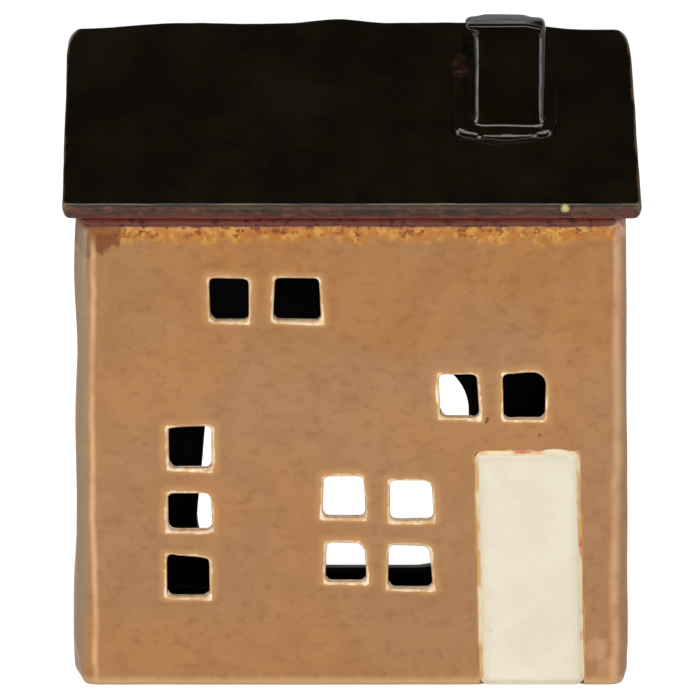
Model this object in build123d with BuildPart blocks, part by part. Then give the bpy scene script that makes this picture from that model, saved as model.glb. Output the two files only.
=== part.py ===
from build123d import *

import os
from math import atan, cos, degrees, radians, sin, tan

# A hand-built stoneware house that holds a tealight. It stands on the plane z = 0 with the
# middle of its floor at the origin, its front wall towards -Y and its ridge along X.
# Every clay slab, the door, the chimney and each piece of the tealight is a solid of its own.

# Driving dimensions, in millimetres
house_width = 125.8
house_depth = 80.0
eave_height = 108.6
side_lean = 1.2
wall_thickness = 5.0
floor_thickness = 5.0
corner_round = 4.0
foot_round = 2.4

# The saddle roof, in millimetres, and its pitch in degrees
roof_length = 130.0
roof_pitch = 38.6
roof_thickness = 5.0
eave_overhang = 4.5
ridge_round = 3.5
roof_edge_round = 1.3
roof_corner_round = 3.0
ridge_end_round = 6.0
ridge_end_lean = 1.8

# The bead of clay pressed into the corner under each long eave
bead_height = 1.5
bead_reach = 0.8

# The windows, hand cut about one nominal square
window_side = 10.0

# The door slab and the seat it is laid in
door_width = 22.5
door_height = 53.0
door_foot_gap = 0.9
door_thickness = 3.0
door_proud = 1.0
door_clearance = 0.35
door_corner_round = 1.4
door_edge_round = 0.9
door_flare = 1.4
door_side_gap = 12.1

# The opening in the rear wall that the tealight goes in through
hatch_width = 65.2
hatch_height = 50.0
hatch_sill = 10.0
hatch_round = 12.5
hatch_middle = -5.0
hatch_lean = 4.5

# The chimney, closed at its top and hollow from below, and the coil of clay round its foot
chimney_width = 16.7
chimney_depth = 15.0
chimney_wall = 3.5
chimney_above_ridge = 3.1
chimney_front_gap = 12.8
chimney_end_gap = 21.2
chimney_corner_round = 2.0
chimney_top_round = 1.2
chimney_vent_bore = 6.0
coil_height = 1.3
coil_left_reach = 4.7
coil_right_reach = 2.2
coil_front_reach = 2.2
coil_back_reach = 4.0
coil_corner_round = 3.0
coil_slope = 35.0

# The tealight
tealight_diameter = 38.0
tealight_height = 16.0
cup_foot_diameter = 36.4
cup_foil = 0.4
cup_rim_reach = 0.6
cup_rim_height = 1.2
cup_foot_round = 1.0
wax_height = 12.5
tab_diameter = 12.0
tab_thickness = 0.4
tab_neck_diameter = 2.6
tab_neck_height = 5.0
wick_diameter = 1.4
wick_stand = 6.0
tealight_side_gap = 0.5
tealight_offset = -3.3

# How far a cutting shape runs past what it cuts
cut_overrun = 1.0

# An edge counts as upright when at least this share of its direction is
upright_share = 0.9

# Each window: middle across the wall as a share of half the house's width, middle up the wall
# as a share of the eave height, then width, height, fall of the head to the right, fall of the
# sill to the right, extra width at the sill, shift of the head against the sill and radius of
# the worn top right corner, all as shares of window_side.
window_shares = {
    "attic_left": (-0.439, 0.820, 0.89, 1.02, 0.02, 0.02, -0.04, -0.02, 0.10),
    "attic_right": (-0.197, 0.820, 1.05, 1.03, 0.02, 0.05, 0.11, 0.00, 0.06),
    "landing_left": (0.383, 0.616, 0.87, 1.04, 0.00, 0.05, 0.02, -0.06, 0.12),
    "landing_right": (0.619, 0.615, 0.95, 1.11, -0.06, 0.00, -0.03, 0.00, 0.28),
    "stair_high": (-0.582, 0.506, 0.97, 1.01, -0.03, 0.06, -0.02, -0.01, 0.10),
    "stair_middle": (-0.583, 0.369, 0.98, 0.90, -0.01, 0.03, 0.06, -0.03, 0.12),
    "stair_low": (-0.590, 0.231, 0.96, 0.98, 0.09, 0.03, 0.01, 0.00, 0.08),
    "room_upper_left": (-0.029, 0.401, 0.93, 0.98, 0.00, 0.02, 0.09, -0.02, 0.12),
    "room_upper_right": (0.214, 0.393, 0.97, 0.97, 0.00, 0.00, 0.08, -0.04, 0.16),
    "room_lower_left": (-0.022, 0.261, 0.88, 0.94, 0.01, 0.02, 0.09, -0.01, 0.22),
    "room_lower_right": (0.209, 0.252, 0.96, 1.03, 0.01, 0.03, 0.07, -0.02, 0.18),
}

# Sizes worked out from the driving dimensions
half_width = house_width / 2
half_depth = house_depth / 2
lean_angle = degrees(atan(side_lean / eave_height))
pitch_sine = sin(radians(roof_pitch))
pitch_cosine = cos(radians(roof_pitch))
pitch_slope = tan(radians(roof_pitch))
ridge_under_height = eave_height + half_depth * pitch_slope
ridge_top_height = ridge_under_height + roof_thickness / pitch_cosine
eave_reach = half_depth + eave_overhang
eave_top_height = ridge_top_height - eave_reach * pitch_slope
inner_half_depth = half_depth - wall_thickness


def save(piece, name):
    """Name a finished piece and write it to its own file."""
    piece.label = name
    export_step(piece, f"parts/{name}.step")


def roof_plane(height_at_ridge, side):
    """A roof surface through the ridge height: side -1 faces the front and 1 the rear."""
    return Plane(
        origin=(0, 0, height_at_ridge),
        x_dir=(1, 0, 0),
        z_dir=(0, side * pitch_sine, pitch_cosine),
    )


def inner_side_plane(side):
    """The leaning inner face of the left (-1) or right (1) gable wall, facing outwards."""
    lean = radians(lean_angle)
    return Plane(
        origin=(side * (half_width - wall_thickness / cos(lean)), 0, 0),
        x_dir=(0, 1, 0),
        z_dir=(side * cos(lean), 0, sin(lean)),
    )


def house_envelope():
    """The outer form of the walls: both sides lean in, and the roof's slopes cut it off."""
    half_width_at_ridge = half_width - side_lean * ridge_under_height / eave_height
    with BuildPart() as envelope:
        with BuildSketch(Plane.XZ):
            Polygon(
                (-half_width, 0),
                (half_width, 0),
                (half_width_at_ridge, ridge_under_height),
                (-half_width_at_ridge, ridge_under_height),
                align=None,
            )
        extrude(amount=half_depth, both=True)
        upright_edges = [
            edge for edge in envelope.edges() if abs(edge.tangent_at(0).Z) > upright_share
        ]
        fillet(upright_edges, corner_round)
        fillet(envelope.edges().group_by(Axis.Z)[0], foot_round)
        for side in (-1, 1):
            split(bisect_by=roof_plane(ridge_under_height, side), keep=Keep.BOTTOM)
    return envelope.part


os.makedirs("parts", exist_ok=True)
walls_form = house_envelope()
front_face = Plane.XZ.offset(half_depth)
front_inner_face = Plane.XZ.offset(inner_half_depth)
rear_face = Plane.XZ.offset(-half_depth)
rear_inner_face = Plane.XZ.offset(-inner_half_depth)

# The base slab lies inside the four walls and closes the house below
with BuildPart() as base_slab:
    add(walls_form)
    split(bisect_by=front_inner_face, keep=Keep.BOTTOM)
    split(bisect_by=rear_inner_face, keep=Keep.TOP)
    split(bisect_by=inner_side_plane(-1), keep=Keep.BOTTOM)
    split(bisect_by=inner_side_plane(1), keep=Keep.BOTTOM)
    split(bisect_by=Plane.XY.offset(floor_thickness), keep=Keep.BOTTOM)
save(base_slab.part, "base_slab")

# Each gable wall stands between the front and rear walls and rises to the ridge
for gable_name, gable_side in (("left_gable_wall", -1), ("right_gable_wall", 1)):
    with BuildPart() as gable_wall:
        add(walls_form)
        split(bisect_by=front_inner_face, keep=Keep.BOTTOM)
        split(bisect_by=rear_inner_face, keep=Keep.TOP)
        split(bisect_by=inner_side_plane(gable_side), keep=Keep.TOP)
    save(gable_wall.part, gable_name)

# The door's outline, wider at its foot, drawn on the front face
door_foot = door_foot_gap
door_head = door_foot_gap + door_height
door_middle = half_width - door_side_gap - door_width / 2
door_left_head = door_middle - door_width / 2
door_right_head = door_middle + door_width / 2
door_corners = (
    (door_left_head + door_flare, door_foot),
    (door_right_head + door_flare, door_foot),
    (door_right_head, door_head),
    (door_left_head, door_head),
)


def window_corners(across, up, width, height, head_fall, sill_fall, flare, lean):
    """The four corners of a hand-cut window, from the lower left one anticlockwise."""
    middle_x = across * half_width
    middle_z = up * eave_height
    head_half = (width - flare / 2) * window_side / 2
    sill_half = (width + flare / 2) * window_side / 2
    half_height = height * window_side / 2
    head_shift = lean * window_side / 2
    head_drop = head_fall * window_side / 2
    sill_drop = sill_fall * window_side / 2
    return (
        (middle_x - sill_half - head_shift, middle_z - half_height + sill_drop),
        (middle_x + sill_half - head_shift, middle_z - half_height - sill_drop),
        (middle_x + head_half + head_shift, middle_z + half_height - head_drop),
        (middle_x - head_half + head_shift, middle_z + half_height + head_drop),
    )


def right_and_up(vertex):
    """How far a corner lies to the right and up, to tell the worn corner from the others."""
    return vertex.X + vertex.Y


def eave_bead(side):
    """The bead under the front (-1) or rear (1) eave, from corner round to corner round."""
    face_y = side * half_depth
    head_width = house_width - 2 * side_lean
    under_slope = bead_reach * pitch_slope
    with BuildPart() as bead:
        with BuildSketch(Plane.YZ):
            with BuildLine():
                Polyline(
                    (face_y - side * bead_reach, eave_height + under_slope),
                    (face_y + side * bead_reach, eave_height - under_slope),
                    (face_y + side * bead_reach, eave_height - under_slope - bead_height / 2),
                    (face_y, eave_height - under_slope - bead_height),
                    (face_y - side * bead_reach, eave_height - under_slope - bead_height),
                    close=True,
                )
            make_face()
        extrude(amount=head_width / 2 - corner_round, both=True)
    return bead.part


# The front wall: hand-cut windows, a seat for the door and the bead under the eave
with BuildPart() as front_wall:
    add(walls_form)
    split(bisect_by=front_inner_face, keep=Keep.TOP)
    add(eave_bead(-1))
    with BuildSketch(front_face.offset(cut_overrun)) as windows:
        for *corner_shares, worn_share in window_shares.values():
            with BuildSketch(mode=Mode.PRIVATE) as window:
                Polygon(*window_corners(*corner_shares), align=None)
                fillet(window.vertices().sort_by(right_and_up)[-1], worn_share * window_side)
            add(window.sketch)
    extrude(amount=-(wall_thickness + 2 * cut_overrun), mode=Mode.SUBTRACT)
    seat_depth = door_thickness - door_proud
    with BuildSketch(front_face.offset(cut_overrun)) as seat:
        Polygon(*door_corners, align=None)
        offset(amount=door_clearance, kind=Kind.INTERSECTION)
        with Locations((door_middle + door_flare, door_foot)):
            Rectangle(
                door_width + 2 * door_clearance,
                door_foot_gap + cut_overrun,
                align=(Align.CENTER, Align.MAX),
            )
    extrude(amount=-(seat_depth + cut_overrun), mode=Mode.SUBTRACT)
save(front_wall.part, "front_wall")

# The door panel is laid in its seat and stands a little proud of the wall
with BuildPart() as door_panel:
    with BuildSketch(front_face.offset(door_proud)):
        Polygon(*door_corners, align=None)
    extrude(amount=-door_thickness)
    door_uprights = door_panel.edges().filter_by(Axis.Y)
    fillet(door_uprights, door_corner_round)
    fillet(door_panel.faces().sort_by(Axis.Y)[0].edges(), door_edge_round)
save(door_panel.part, "door_panel")

# The rear wall with the opening for the tealight, its left side leaning in at the head
with BuildPart() as rear_wall:
    add(walls_form)
    split(bisect_by=rear_inner_face, keep=Keep.BOTTOM)
    add(eave_bead(1))
    hatch_left = hatch_middle - hatch_width / 2
    hatch_right = hatch_middle + hatch_width / 2
    with BuildSketch(rear_face.offset(-cut_overrun)) as hatch:
        Polygon(
            (hatch_left, hatch_sill),
            (hatch_right, hatch_sill),
            (hatch_right, hatch_sill + hatch_height),
            (hatch_left + hatch_lean, hatch_sill + hatch_height),
            align=None,
        )
        fillet(hatch.vertices(), hatch_round)
    extrude(amount=wall_thickness + 2 * cut_overrun, mode=Mode.SUBTRACT)
save(rear_wall.part, "rear_wall")


def saddle_roof():
    """Both roof slabs in one piece, worn round at the ridge ends and the eave corners."""
    eave_under_y = eave_reach - roof_thickness * pitch_sine
    eave_under_z = eave_top_height - roof_thickness * pitch_cosine
    with BuildPart() as roof:
        with BuildSketch(Plane.YZ) as section:
            with BuildLine():
                Polyline(
                    (0, ridge_top_height),
                    (eave_reach, eave_top_height),
                    (eave_under_y, eave_under_z),
                    (0, ridge_under_height),
                    (-eave_under_y, eave_under_z),
                    (-eave_reach, eave_top_height),
                    close=True,
                )
            make_face()
            fillet(section.vertices().sort_by(Axis.Y)[-1], ridge_round)
        extrude(amount=roof_length / 2 + cut_overrun, both=True)
        eave_edges = roof.edges().filter_by(Axis.X)
        fillet(eave_edges.filter_by(lambda edge: abs(edge.center().Y) > half_depth), roof_edge_round)
        with BuildSketch(Plane.XZ) as front_outline:
            Polygon(
                (-roof_length / 2, eave_under_z),
                (roof_length / 2, eave_under_z),
                (roof_length / 2, eave_top_height),
                (roof_length / 2 - ridge_end_lean, ridge_top_height),
                (-roof_length / 2, ridge_top_height),
                align=None,
            )
            fillet(front_outline.vertices().sort_by(Axis.Y)[:2], roof_corner_round)
            fillet(front_outline.vertices().sort_by(Axis.Y)[-2:], ridge_end_round)
        extrude(amount=eave_reach + cut_overrun, both=True, mode=Mode.INTERSECT)
    return roof.part


# The two roof slabs meet in a mitre at the ridge, and the front one is pierced under the
# chimney so that no air is shut in while the clay is fired
roof_form = saddle_roof()
chimney_front = chimney_front_gap - half_depth
chimney_middle = roof_length / 2 - chimney_end_gap - chimney_width / 2
chimney_centre_y = chimney_front + chimney_depth / 2
for slab_name, slab_side in (("front_roof_slab", -1), ("rear_roof_slab", 1)):
    with BuildPart() as roof_slab:
        add(roof_form)
        split(bisect_by=Plane.XZ, keep=Keep.TOP if slab_side < 0 else Keep.BOTTOM)
        if slab_side < 0:
            with Locations((chimney_middle, chimney_centre_y, ridge_top_height)):
                Cylinder(
                    chimney_vent_bore / 2,
                    2 * (ridge_top_height - eave_top_height),
                    mode=Mode.SUBTRACT,
                )
    save(roof_slab.part, slab_name)

# The chimney, cut off at its foot along the front roof slab
front_roof_face = roof_plane(ridge_top_height, -1)
chimney_plan = Plane.XY.offset(eave_top_height).shift_origin(
    (chimney_middle, chimney_centre_y, eave_top_height)
)


def chimney_block(width, depth, height, corner):
    """An upright block with rounded corners, standing where the chimney stands."""
    with BuildPart() as block:
        with BuildSketch(chimney_plan):
            RectangleRounded(width, depth, corner)
        extrude(amount=height)
    return block.part


chimney_rise = ridge_top_height + chimney_above_ridge - eave_top_height
chimney_bore = chimney_block(
    chimney_width - 2 * chimney_wall,
    chimney_depth - 2 * chimney_wall,
    chimney_rise - chimney_wall,
    chimney_corner_round / 2,
)
with BuildPart() as chimney:
    add(chimney_block(chimney_width, chimney_depth, chimney_rise, chimney_corner_round))
    fillet(chimney.faces().sort_by(Axis.Z)[-1].edges(), chimney_top_round)
    add(chimney_bore, mode=Mode.SUBTRACT)
    split(bisect_by=front_roof_face, keep=Keep.TOP)
save(chimney.part, "chimney")

# The coil pressed round the chimney's foot lies on the roof and slopes down to it
with BuildPart() as chimney_coil:
    with BuildSketch(
        front_roof_face.shift_origin(
            (
                chimney_middle,
                chimney_centre_y,
                ridge_top_height + chimney_centre_y * pitch_slope,
            )
        )
    ):
        coil_width = chimney_width + coil_left_reach + coil_right_reach
        coil_length = chimney_depth / pitch_cosine + coil_front_reach + coil_back_reach
        with Locations(
            (
                (coil_right_reach - coil_left_reach) / 2,
                (coil_back_reach - coil_front_reach) / 2,
            )
        ):
            RectangleRounded(coil_width, coil_length, coil_corner_round)
    extrude(amount=coil_height, taper=coil_slope)
    add(
        chimney_block(chimney_width, chimney_depth, chimney_rise, chimney_corner_round),
        mode=Mode.SUBTRACT,
    )
save(chimney_coil.part, "chimney_coil")

# The tealight stands on the base slab behind the door, beside the right gable wall
tealight_radius = tealight_diameter / 2
inner_width_at_cup = half_width - wall_thickness - side_lean * (
    (floor_thickness + tealight_height) / eave_height
)
tealight_x = inner_width_at_cup - tealight_side_gap - tealight_radius
tealight_plane = Plane(
    origin=(tealight_x, tealight_offset, floor_thickness), x_dir=(1, 0, 0), z_dir=(0, -1, 0)
)
cup_foot_radius = cup_foot_diameter / 2
cup_slope = (tealight_radius - cup_rim_reach - cup_foot_radius) / tealight_height
wax_top = cup_foil + wax_height


def cup_inner_radius(height):
    """The radius inside the cup's leaning wall at a height above the floor of the house."""
    return cup_foot_radius - cup_foil + cup_slope * height


# The cup: a thin pressed shell whose rim is rolled outwards
rim_foot_height = tealight_height - cup_rim_height
with BuildPart() as tealight_cup:
    with BuildSketch(tealight_plane):
        with BuildLine():
            Polyline(
                (0, 0),
                (cup_foot_radius - cup_foot_round, 0),
                (cup_foot_radius, cup_foot_round),
                (cup_foot_radius + cup_slope * rim_foot_height, rim_foot_height),
                (tealight_radius, tealight_height - cup_rim_height / 2),
                (tealight_radius, tealight_height),
                (cup_inner_radius(tealight_height), tealight_height),
                (cup_inner_radius(cup_foot_round), cup_foot_round),
                (cup_inner_radius(0) - cup_foot_round + cup_foil, cup_foil),
                (0, cup_foil),
                close=True,
            )
        make_face()
    revolve(axis=Axis(tealight_plane.origin, (0, 0, 1)))
save(tealight_cup.part, "tealight_cup")

# The wick tab: a disc with a crimped neck that holds the wick upright
with BuildPart() as wick_tab:
    with BuildSketch(tealight_plane):
        with BuildLine():
            Polyline(
                (0, cup_foil),
                (tab_diameter / 2, cup_foil),
                (tab_diameter / 2, cup_foil + tab_thickness),
                (tab_neck_diameter / 2, cup_foil + 2 * tab_thickness),
                (tab_neck_diameter / 2, cup_foil + tab_neck_height),
                (wick_diameter / 2, cup_foil + tab_neck_height),
                (wick_diameter / 2, cup_foil + tab_thickness),
                (0, cup_foil + tab_thickness),
                close=True,
            )
        make_face()
    revolve(axis=Axis(tealight_plane.origin, (0, 0, 1)))
save(wick_tab.part, "wick_tab")

# The wick stands in the tab's neck and comes out of the wax
with BuildPart() as tealight_wick:
    with BuildSketch(tealight_plane):
        with Locations((0, cup_foil + tab_thickness)):
            Rectangle(
                wick_diameter / 2,
                wax_height - tab_thickness + wick_stand,
                align=(Align.MIN, Align.MIN),
            )
    revolve(axis=Axis(tealight_plane.origin, (0, 0, 1)))
    chamfer(tealight_wick.edges().sort_by(Axis.Z)[-1], wick_diameter / 4)
save(tealight_wick.part, "tealight_wick")

# The wax fills the cup round the tab and the wick
with BuildPart() as tealight_wax:
    with BuildSketch(tealight_plane):
        with BuildLine():
            Polyline(
                (0, cup_foil),
                (cup_inner_radius(0) - cup_foot_round + cup_foil, cup_foil),
                (cup_inner_radius(cup_foot_round), cup_foot_round),
                (cup_inner_radius(wax_top), wax_top),
                (0, wax_top),
                close=True,
            )
        make_face()
    revolve(axis=Axis(tealight_plane.origin, (0, 0, 1)))
    add(wick_tab.part, mode=Mode.SUBTRACT)
    add(tealight_wick.part, mode=Mode.SUBTRACT)
save(tealight_wax.part, "tealight_wax")
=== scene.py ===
from math import ceil, copysign, cos, pi, radians, sin, tan

import bmesh
import bpy
import numpy as np
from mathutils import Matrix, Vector
from mathutils.kdtree import KDTree


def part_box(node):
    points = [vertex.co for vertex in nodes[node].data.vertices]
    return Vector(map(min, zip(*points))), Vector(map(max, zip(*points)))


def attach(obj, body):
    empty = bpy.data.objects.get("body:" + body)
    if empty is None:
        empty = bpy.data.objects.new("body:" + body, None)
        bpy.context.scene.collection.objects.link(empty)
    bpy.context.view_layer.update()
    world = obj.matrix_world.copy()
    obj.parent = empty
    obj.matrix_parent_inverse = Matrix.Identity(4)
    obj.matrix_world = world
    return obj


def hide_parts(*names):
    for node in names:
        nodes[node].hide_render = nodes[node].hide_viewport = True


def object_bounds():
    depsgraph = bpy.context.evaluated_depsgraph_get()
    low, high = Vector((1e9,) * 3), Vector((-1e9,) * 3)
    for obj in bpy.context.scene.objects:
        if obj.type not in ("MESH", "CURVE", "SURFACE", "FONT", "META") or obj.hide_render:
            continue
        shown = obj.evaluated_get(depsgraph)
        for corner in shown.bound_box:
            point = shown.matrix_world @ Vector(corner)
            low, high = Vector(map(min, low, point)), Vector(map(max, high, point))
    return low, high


# A hand-built stoneware house for a tealight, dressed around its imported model.
# The model's own frame is in metres, and the front wall faces -Y. Places, sizes, shifts and
# reaches in the tables below are in mm.
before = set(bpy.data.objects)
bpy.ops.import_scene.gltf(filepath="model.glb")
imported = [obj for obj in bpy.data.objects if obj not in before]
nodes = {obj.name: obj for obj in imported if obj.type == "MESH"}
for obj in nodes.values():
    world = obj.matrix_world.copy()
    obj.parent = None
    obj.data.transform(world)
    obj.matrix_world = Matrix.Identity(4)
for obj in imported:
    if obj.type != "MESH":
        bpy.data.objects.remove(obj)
cad_low, cad_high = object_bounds()
mm = 0.001

# The photographer's camera: far off, square to the front wall and a little above it
camera_distance = 2.0
camera_elevation = radians(11.5)
camera_target = Vector((-0.45 * mm, 0.0, 69.65 * mm))
picture_px = 700
px_per_metre = 4346
sensor_mm = 36.0
clip_near, clip_far = 0.1, 20.0
camera_data = bpy.data.cameras.new("front_camera")
camera_data.sensor_width = sensor_mm
camera_data.lens = sensor_mm * px_per_metre * camera_distance / picture_px
camera_data.clip_start = clip_near
camera_data.clip_end = clip_far
camera = bpy.data.objects.new("front_camera", camera_data)
bpy.context.scene.collection.objects.link(camera)
camera.location = camera_target + camera_distance * Vector(
    (0, -cos(camera_elevation), sin(camera_elevation))
)
camera.rotation_euler = (pi / 2 - camera_elevation, 0, 0)
bpy.context.scene.camera = camera
bpy.context.scene.view_settings.view_transform = "Standard"

# The house's own lines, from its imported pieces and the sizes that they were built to
roof_pitch = radians(38.6)
roof_slab = 5.0 * mm
wall_slab = 5.0 * mm
side_lean = 1.2
eave_height = 108.6
wall_lean = side_lean / eave_height
bead_depth = 7 * mm
wall_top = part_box("front_wall")[1].z
gable_low, gable_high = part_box("left_gable_wall")
chimney_low, chimney_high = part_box("chimney")
door_low, door_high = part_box("door_panel")
cup_low, cup_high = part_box("tealight_cup")
chamber_half_depth = -gable_low.y
chamber_half_width = -gable_low.x - wall_slab
front_y = gable_low.y - wall_slab
ridge_under = gable_high.z
ridge_top = ridge_under + roof_slab / cos(roof_pitch)
ridge_mm = ridge_top / mm
roof_up = Vector((0, -sin(roof_pitch), cos(roof_pitch)))
eave_reach = 44.5 * mm
coil_thickness = 1.3 * mm
bead_foot = wall_top - bead_depth

# How finely the clay is meshed, how firmly it is rubbed, and a gap in mm that counts as out of
# reach
wall_grain = 0.56 * mm
roof_grain = 0.5 * mm
detail_grain = 0.32 * mm
merge_gap = 0.005 * mm
axis_gap = 0.01 * mm
cut_slack = 1e-7
rubbing = 0.5
crease = radians(50)
out_of_reach = 50.0
pellet_sides, pellet_rings, roll_sides = 28, 14, 24

# How a knife's cut is told from the rest of the clay, and how closely its rim is followed
sharp_turn = radians(40)
on_the_face = 0.02 * mm
facing_out = 0.99
facing_upwards = 0.7
through_share = 0.8
margin = 1 * mm
rim_step = 0.2 * mm
rim_slack = 0.1 * mm

# The share of a mark's reach over which the mark is at its full strength
full_share = 0.3


def pick(*pieces):
    """Leave only these pieces selected, with the first one active."""
    bpy.ops.object.select_all(action="DESELECT")
    for piece in pieces:
        piece.select_set(True)
    bpy.context.view_layer.objects.active = pieces[0]


def clay_copy(packed, name):
    """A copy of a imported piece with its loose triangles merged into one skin."""
    piece = bpy.data.objects.new(name, nodes[packed].data.copy())
    bpy.context.scene.collection.objects.link(piece)
    pick(piece)
    bpy.ops.mesh.customdata_custom_splitnormals_clear()
    bpy.ops.object.mode_set(mode="EDIT")
    bpy.ops.mesh.select_all(action="SELECT")
    bpy.ops.mesh.remove_doubles(threshold=merge_gap)
    bpy.ops.mesh.normals_make_consistent(inside=False)
    bpy.ops.object.mode_set(mode="OBJECT")
    piece.data.materials.clear()
    return piece


def work(piece, kind, **settings):
    """Give a piece a modifier with these settings and apply it."""
    pick(piece)
    modifier = piece.modifiers.new(kind.lower(), kind)
    for setting, value in settings.items():
        setattr(modifier, setting, value)
    bpy.ops.object.modifier_apply(modifier=modifier.name)


def fuse(piece, *others):
    """Lute other pieces onto a piece and remove them."""
    for other in others:
        work(piece, "BOOLEAN", operation="UNION", solver="EXACT", object=other)
        bpy.data.objects.remove(other)


def places(piece):
    """The places of a piece's points, one row each."""
    flat = np.empty(len(piece.data.vertices) * 3, np.float32)
    piece.data.vertices.foreach_get("co", flat)
    return flat.reshape(-1, 3).astype(float)


def place(piece, points):
    """Put a piece's points at these places."""
    piece.data.vertices.foreach_set("co", points.astype(np.float32).ravel())
    piece.data.update()


def directions(piece):
    """The way that a piece's skin faces at each point, one row each."""
    flat = np.empty(len(piece.data.vertices) * 3, np.float32)
    piece.data.vertices.foreach_get("normal", flat)
    return flat.reshape(-1, 3)


def note(piece, name, values):
    """Keep one number per point on the piece for its glaze to read."""
    layer = piece.data.attributes.get(name) or piece.data.attributes.new(name, "FLOAT", "POINT")
    layer.data.foreach_set("value", values.astype(np.float32))


def soften(piece, grain, turns, wear_turns):
    """Round a piece's edges as wet hands do, and note in mm where its edges stand out."""
    work(piece, "REMESH", mode="VOXEL", voxel_size=grain)
    work(piece, "SMOOTH", factor=rubbing, iterations=turns)
    kept = places(piece)
    outward = directions(piece)
    work(piece, "SMOOTH", factor=rubbing, iterations=wear_turns)
    shift = kept - places(piece)
    place(piece, kept)
    note(piece, "edge_wear", (shift * outward).sum(1) / mm)


def wobble(piece, name, size, depth):
    """Let a piece's surfaces wander as rolled and handled clay does."""
    pattern = bpy.data.textures.new(name, "CLOUDS")
    pattern.noise_scale = size
    pattern.noise_depth = 1
    work(
        piece, "DISPLACE", texture=pattern, texture_coords="LOCAL", strength=depth, mid_level=0.5
    )


def keep_in_box(piece):
    """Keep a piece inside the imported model's box and on the table."""
    place(piece, np.clip(places(piece), cad_low, cad_high))


def pull(piece, *moves):
    """Push the clay as with a thumb: each move is a point, a shift and a reach, in mm."""
    points = places(piece) / mm
    pick(piece)
    bpy.ops.object.mode_set(mode="EDIT")
    for point, shift, reach in moves:
        nearest = int(np.argmin(((points - np.array(point)) ** 2).sum(1)))
        bpy.ops.mesh.select_all(action="DESELECT")
        sheet = bmesh.from_edit_mesh(piece.data)
        sheet.verts.ensure_lookup_table()
        sheet.verts[nearest].select_set(True)
        bmesh.update_edit_mesh(piece.data)
        bpy.ops.transform.translate(
            value=Vector(shift) * mm,
            use_proportional_edit=True,
            proportional_edit_falloff="SMOOTH",
            proportional_size=reach * mm,
        )
    bpy.ops.object.mode_set(mode="OBJECT")


def pellet(middle, size, tilt=0.0):
    """A rounded pellet of clay: its middle and its size in mm, tilted about X."""
    bpy.ops.mesh.primitive_uv_sphere_add(
        segments=pellet_sides,
        ring_count=pellet_rings,
        radius=0.5 * mm,
        location=Vector(middle) * mm,
        rotation=(tilt, 0, 0),
    )
    clay = bpy.context.object
    clay.scale = size
    bpy.ops.object.transform_apply(location=True, rotation=True, scale=True)
    return clay


def roll(left, right, along, up, thickness):
    """A roll of clay along X with rounded ends, all in mm."""
    bpy.ops.mesh.primitive_cylinder_add(
        vertices=roll_sides,
        radius=thickness / 2 * mm,
        depth=(right - left) * mm,
        location=Vector(((left + right) / 2, along, up)) * mm,
        rotation=(0, pi / 2, 0),
    )
    clay = bpy.context.object
    bpy.ops.object.transform_apply(location=True, rotation=True, scale=True)
    ends = [pellet((end, along, up), (thickness,) * 3) for end in (left, right)]
    press_on(clay, *ends)
    return clay


def press_on(piece, *lumps):
    """Press lumps of clay on a piece; remeshing it afterwards makes them one."""
    pick(piece, *lumps)
    bpy.ops.object.join()


def read_cuts(piece, outer_face):
    """Where the knife went: points along the rims of the openings and of the door's seat, and
    the middle of each opening's lower corners with the side that the opening lies on."""
    window_rim, door_rim, corners = [], [], []
    sheet = bmesh.new()
    sheet.from_mesh(piece.data)
    for edge in sheet.edges:
        start, end = (vertex.co.copy() for vertex in edge.verts)
        middle = (start + end) / 2
        if len(edge.link_faces) != 2 or middle.z > bead_foot:
            continue
        if edge.calc_face_angle() < sharp_turn:
            continue
        normals = [face.normal for face in edge.link_faces]
        if abs(start.y - outer_face) + abs(end.y - outer_face) < on_the_face:
            if max(abs(normal.y) for normal in normals) < facing_out or middle.z < margin:
                continue
            of_door = middle.x > door_low.x - margin and middle.z < door_high.z + margin
            steps = ceil((end - start).length / rim_step)
            rim = door_rim if of_door else window_rim
            rim.extend(start.lerp(end, step / steps) for step in range(steps + 1))
        elif abs(end.y - start.y) > through_share * wall_slab:
            if max(normal.z for normal in normals) > facing_upwards:
                corners.append((middle, copysign(1, sum(normal.x for normal in normals))))
    sheet.free()
    return window_rim, door_rim, corners


def gap_to(points, rim, flat=False, below=1.0):
    """How far in mm each point in the long walls lies from a rim, seen flat on the wall or
    not; a gap below the rim counts this many times."""
    level = Vector((1, 0, 1)) if flat else Vector((1, 1, 1))
    tree = KDTree(len(rim))
    for index, spot in enumerate(rim):
        tree.insert(spot * level, index)
    tree.balance()
    gaps = np.full(len(points), out_of_reach)
    for index in np.nonzero(np.abs(points[:, 1]) > chamber_half_depth - margin)[0]:
        spot = Vector(points[index]) * level
        nearest, _, gap = tree.find(spot)
        gaps[index] = (gap + (below - 1) * max(nearest.z - spot.z - rim_slack, 0)) / mm
    return gaps


def down_the_roof(points):
    """How far points lie down the slope from the ridge and how deep below the roof's face."""
    aside, below = np.abs(points[:, 1]), ridge_top - points[:, 2]
    return (
        aside * cos(roof_pitch) + below * sin(roof_pitch),
        below * cos(roof_pitch) - aside * sin(roof_pitch),
    )


def cut(piece, point, outward):
    """Cut a piece along a plane, drop what lies outward of it and close the cut."""
    pick(piece)
    bpy.ops.object.mode_set(mode="EDIT")
    bpy.ops.mesh.select_all(action="SELECT")
    bpy.ops.mesh.bisect(
        plane_co=point, plane_no=outward, use_fill=True, clear_outer=True, threshold=cut_slack
    )
    bpy.ops.object.mode_set(mode="OBJECT")


def part_of(piece, name, *planes):
    """A named piece of a fused form: what lies inward of each plane."""
    slab = bpy.data.objects.new(name, piece.data.copy())
    bpy.context.scene.collection.objects.link(slab)
    for point, outward in planes:
        cut(slab, point, outward)
    return slab


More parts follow.
